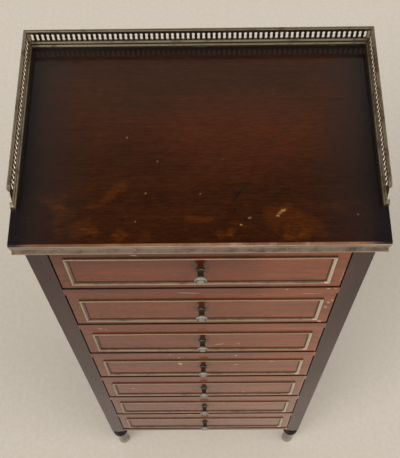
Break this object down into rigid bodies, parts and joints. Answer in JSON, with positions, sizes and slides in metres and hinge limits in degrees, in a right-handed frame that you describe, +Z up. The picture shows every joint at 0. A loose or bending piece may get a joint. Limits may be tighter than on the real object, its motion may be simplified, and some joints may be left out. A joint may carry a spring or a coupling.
{
  "type": "semainier",
  "caption": "Tall narrow chest of equal drawers on turned legs, dark wood with brass frames, knobs and edge, and a pierced brass gallery round three sides of the top.",
  "frame": {"origin": "on the floor, under the middle of the whole piece", "axes": "+Z up, the drawers face -Y, +X to the right seen from the front"},
  "size_m": [0.472, 0.317, 1.297],
  "materials": {
    "mahogany_top": "dark french polish, worn towards the front",
    "mahogany_case": "dark brown french polish",
    "mahogany_front": "red brown french polish",
    "pale_wood": "planed and unpolished",
    "brass_gallery": "aged",
    "brass_edge": "aged, rubbed on the bead",
    "brass_trim": "aged",
    "brass_knob": "dulled",
    "brass_shoe": "dulled"
  },
  "bodies": {
    "case": {"top_board": "mahogany_top", "top_edge_brass": "brass_edge", "edge_pins": "brass_edge", "gallery_back": "brass_gallery", "gallery_left": "brass_gallery", "gallery_right": "brass_gallery", "gallery_pins": "brass_gallery", "post_front_left": "mahogany_case", "post_front_right": "mahogany_case", "post_back_left": "mahogany_case", "post_back_right": "mahogany_case", "leg_front_left": "mahogany_case", "leg_front_right": "mahogany_case", "leg_back_left": "mahogany_case", "leg_back_right": "mahogany_case", "leg_sabots": "brass_shoe", "side_panel_left": "mahogany_case", "side_panel_right": "mahogany_case", "back_panel": "pale_wood", "top_rail": "mahogany_case", "bottom_rail": "mahogany_case", "drawer_rails": "mahogany_case", "drawer_runners": "pale_wood", "drawer_guides": "pale_wood", "drawer_stops": "pale_wood"},
    "drawer_1": {"drawer_1_front": "mahogany_front", "drawer_1_box": "pale_wood", "drawer_1_bottom": "pale_wood", "drawer_1_trim": "brass_trim", "drawer_1_knob": "brass_knob"},
    "drawer_2": {"drawer_2_front": "mahogany_front", "drawer_2_box": "pale_wood", "drawer_2_bottom": "pale_wood", "drawer_2_trim": "brass_trim", "drawer_2_knob": "brass_knob"},
    "drawer_3": {"drawer_3_front": "mahogany_front", "drawer_3_box": "pale_wood", "drawer_3_bottom": "pale_wood", "drawer_3_trim": "brass_trim", "drawer_3_knob": "brass_knob"},
    "drawer_4": {"drawer_4_front": "mahogany_front", "drawer_4_box": "pale_wood", "drawer_4_bottom": "pale_wood", "drawer_4_trim": "brass_trim", "drawer_4_knob": "brass_knob"},
    "drawer_5": {"drawer_5_front": "mahogany_front", "drawer_5_box": "pale_wood", "drawer_5_bottom": "pale_wood", "drawer_5_trim": "brass_trim", "drawer_5_knob": "brass_knob"},
    "drawer_6": {"drawer_6_front": "mahogany_front", "drawer_6_box": "pale_wood", "drawer_6_bottom": "pale_wood", "drawer_6_trim": "brass_trim", "drawer_6_knob": "brass_knob"},
    "drawer_7": {"drawer_7_front": "mahogany_front", "drawer_7_box": "pale_wood", "drawer_7_bottom": "pale_wood", "drawer_7_trim": "brass_trim", "drawer_7_knob": "brass_knob"}
  },
  "joints": [
    {"name": "drawer_1_slide", "type": "slide", "parent": "case", "child": "drawer_1", "axis": [0, -1, 0], "range_m": [0, 0.21]},
    {"name": "drawer_2_slide", "type": "slide", "parent": "case", "child": "drawer_2", "axis": [0, -1, 0], "range_m": [0, 0.21]},
    {"name": "drawer_3_slide", "type": "slide", "parent": "case", "child": "drawer_3", "axis": [0, -1, 0], "range_m": [0, 0.21]},
    {"name": "drawer_4_slide", "type": "slide", "parent": "case", "child": "drawer_4", "axis": [0, -1, 0], "range_m": [0, 0.21]},
    {"name": "drawer_5_slide", "type": "slide", "parent": "case", "child": "drawer_5", "axis": [0, -1, 0], "range_m": [0, 0.21]},
    {"name": "drawer_6_slide", "type": "slide", "parent": "case", "child": "drawer_6", "axis": [0, -1, 0], "range_m": [0, 0.21]},
    {"name": "drawer_7_slide", "type": "slide", "parent": "case", "child": "drawer_7", "axis": [0, -1, 0], "range_m": [0, 0.21]}
  ]
}
